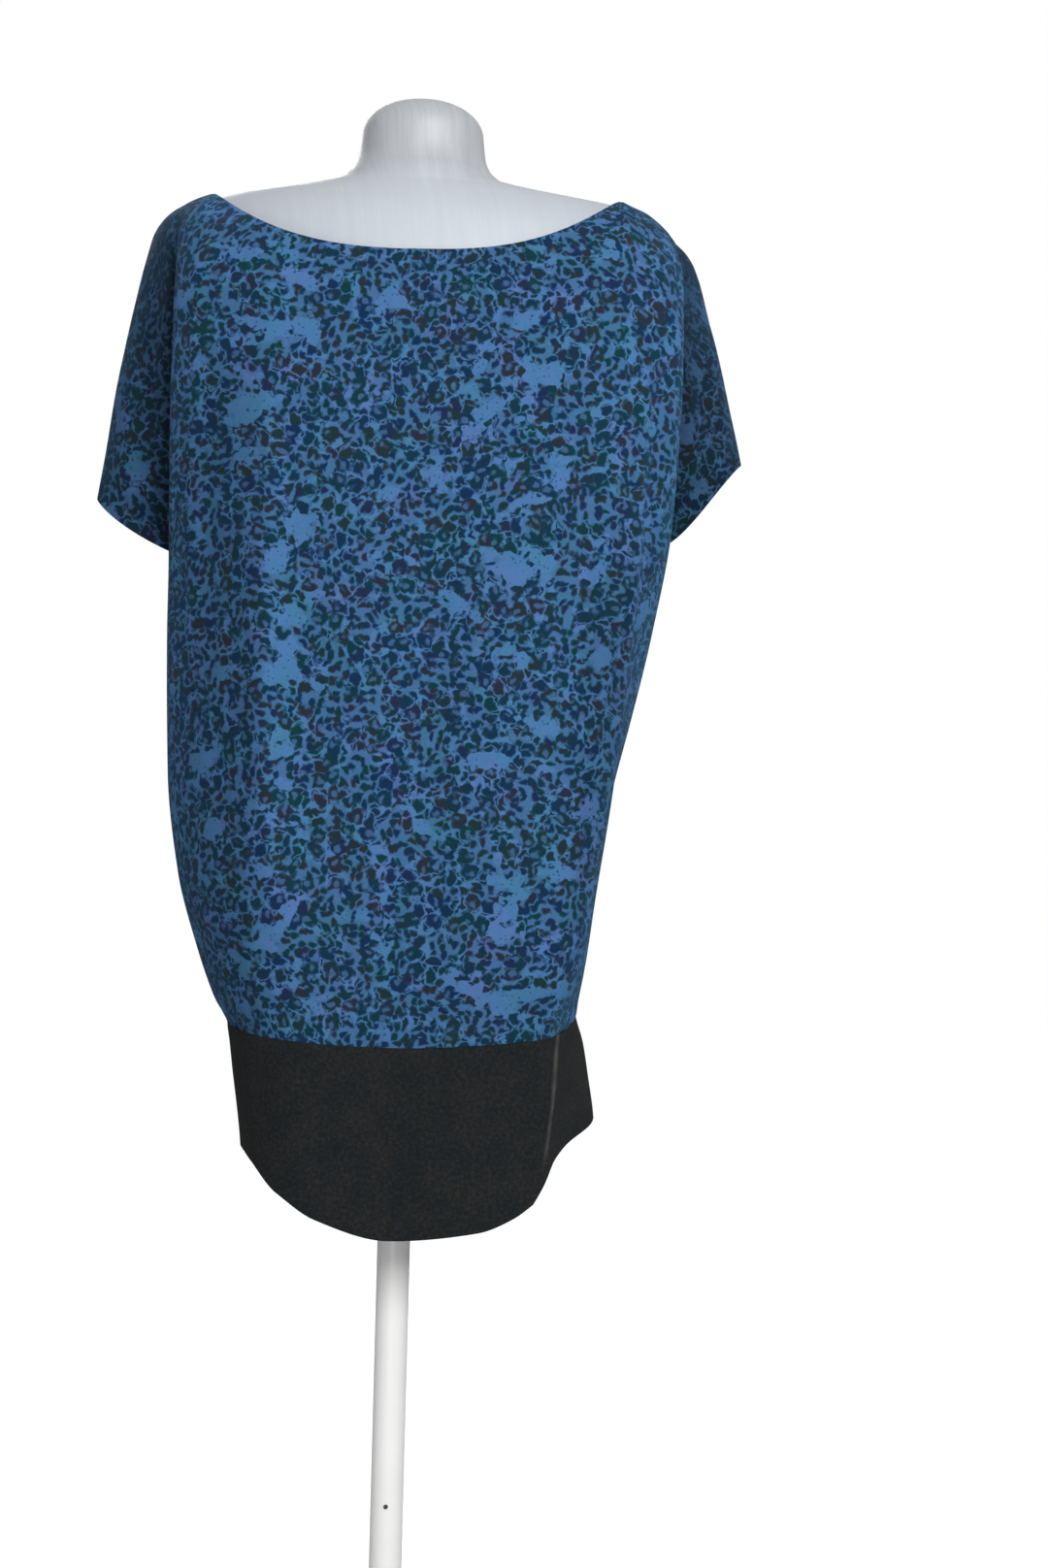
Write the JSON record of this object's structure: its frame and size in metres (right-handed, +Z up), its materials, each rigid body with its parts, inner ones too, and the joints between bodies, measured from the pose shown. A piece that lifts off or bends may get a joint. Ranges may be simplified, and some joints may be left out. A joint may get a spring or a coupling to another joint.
{
  "type": "t-shirt on dress form",
  "caption": "Tunic-length knit tee with boat neck, grown-on short sleeves and a curved hem band, hanging hollow on a limbless dress form with pole and round base.",
  "frame": {"origin": "centre of the base's flat underside, on the floor and on the pole's axis", "axes": "+Z up along the pole, the garment's back faces -Y and its right side, seen from behind, is +X"},
  "size_m": [0.531, 0.34, 1.498],
  "materials": {
    "print_knit": "matt fine jersey, blue ground with dark animal spots",
    "band_knit": "matt charcoal jersey",
    "silver_cloth": "silver-grey satin cover with fine upright slubs",
    "white_paint": "satin white powder coat",
    "dark_metal": "dark satin metal"
  },
  "bodies": {
    "root": {"back_panel": "print_knit", "front_panel": "print_knit", "hem_band_back": "band_knit", "hem_band_front": "band_knit", "dress_form": "silver_cloth", "form_socket": "dark_metal", "pole": "white_paint", "pole_button": "dark_metal", "base": "white_paint", "base_boss": "white_paint"}
  },
  "joints": []
}
